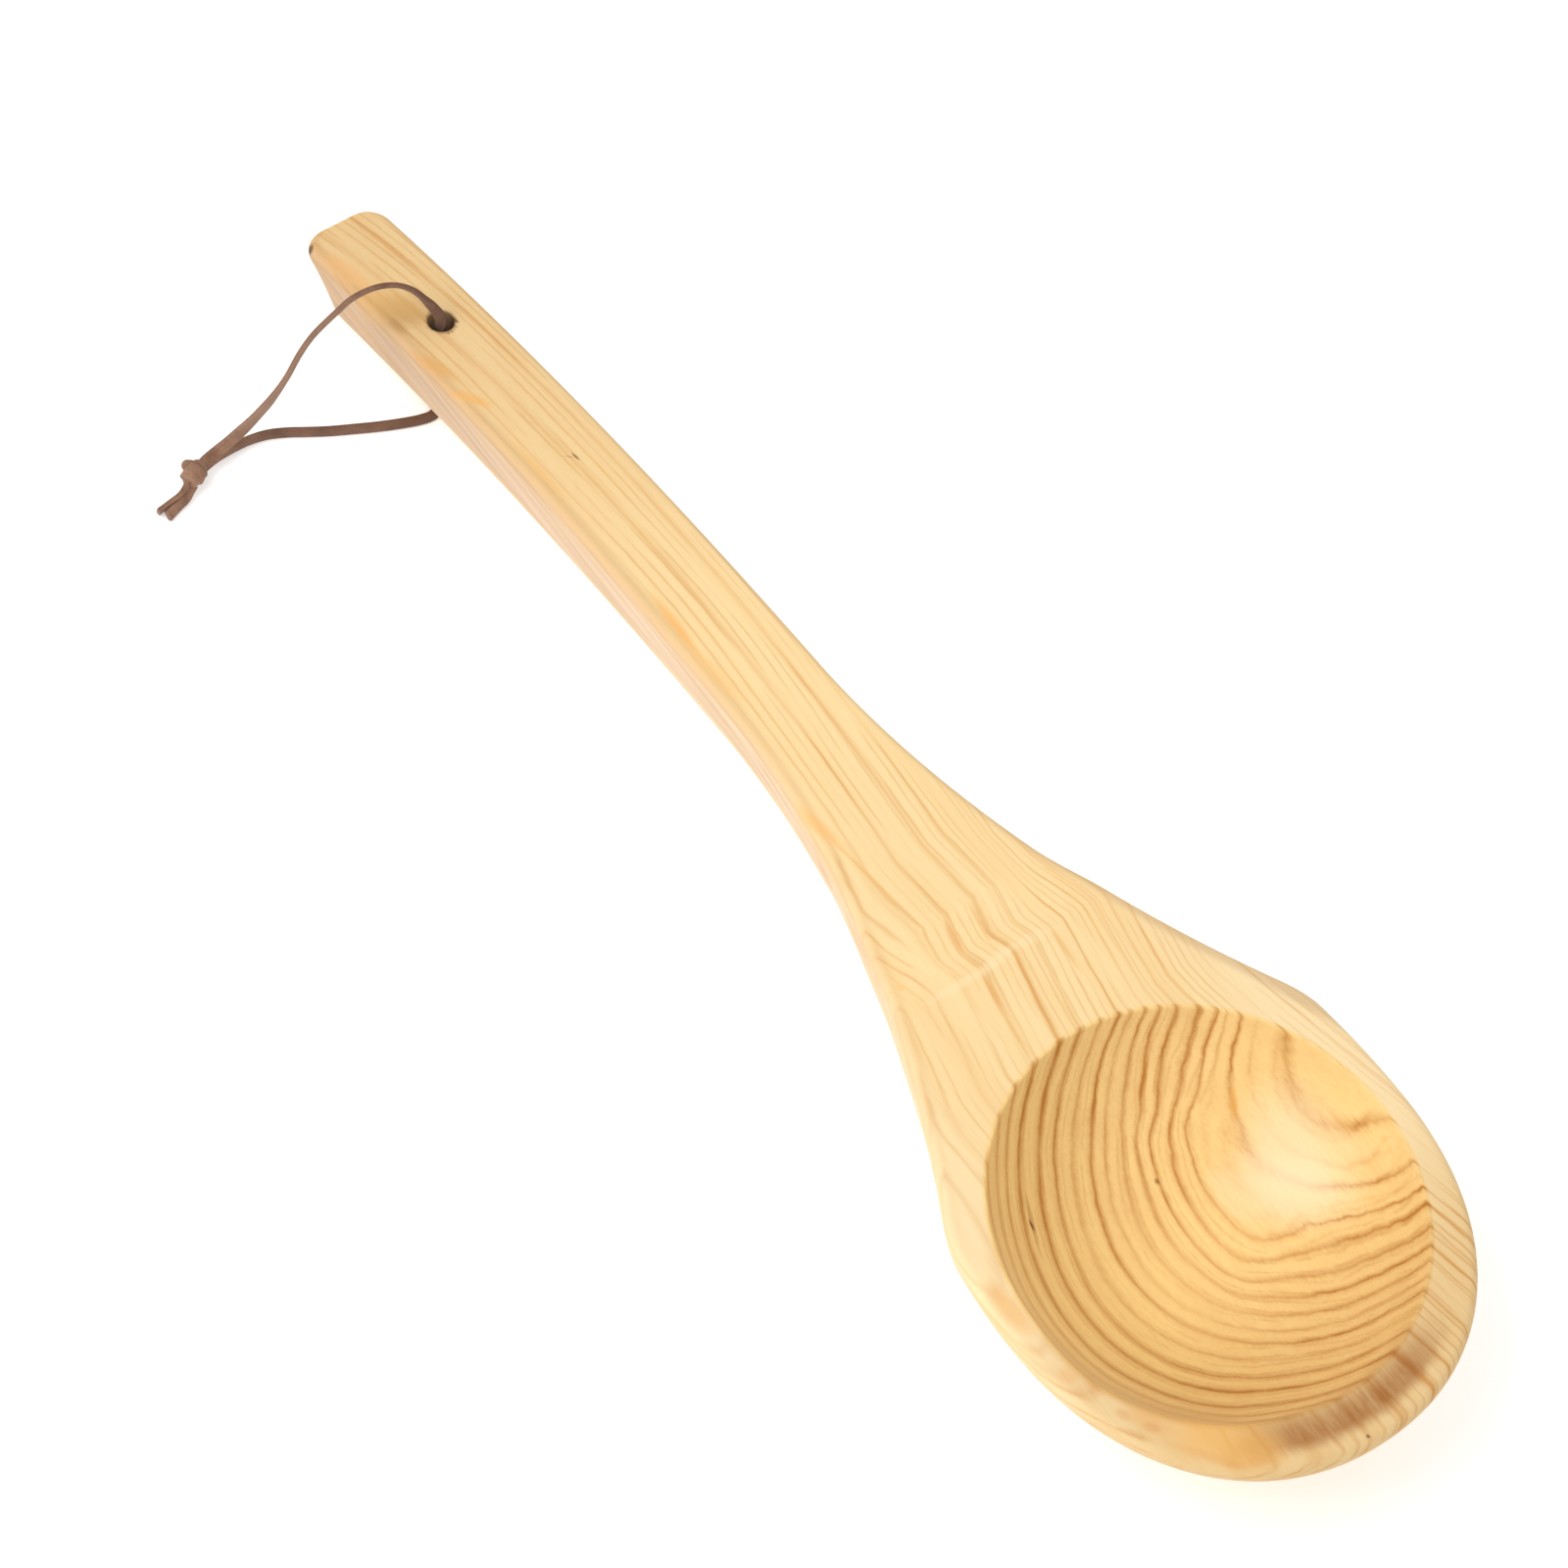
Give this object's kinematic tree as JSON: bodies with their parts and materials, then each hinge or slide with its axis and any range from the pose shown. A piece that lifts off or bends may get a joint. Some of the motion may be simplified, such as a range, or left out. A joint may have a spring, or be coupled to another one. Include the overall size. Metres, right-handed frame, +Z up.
{
  "type": "sauna ladle",
  "caption": "Long-handled sauna ladle carved from solid pine, with a shallow round bowl, an arched flat-topped handle and a knotted leather hanging lace",
  "frame": {"origin": "middle of the flat foot under the bowl, on the table top", "axes": "+X along the handle to its end, +Y to the side the lace lies on, +Z up out of the bowl"},
  "size_m": [0.4, 0.1416, 0.041],
  "materials": {
    "pine": "fine-sanded bare pine with clear growth rings, darker on the end grain of the front lip",
    "lace_leather": "matt brown suede-sided leather lace"
  },
  "bodies": {
    "ladle": {"ladle_body": "pine"},
    "lace": {"lace_upper_run": "lace_leather", "lace_lower_run": "lace_leather", "lace_knot": "lace_leather", "lace_tail_long": "lace_leather", "lace_tail_short": "lace_leather"}
  },
  "joints": [
    {"name": "lace_swing", "type": "hinge", "parent": "ladle", "child": "lace", "pos_m": [0.2932, 0, 0.02165], "axis": [0.1973, 0, 0.9804], "range_deg": [-230, 60]}
  ]
}
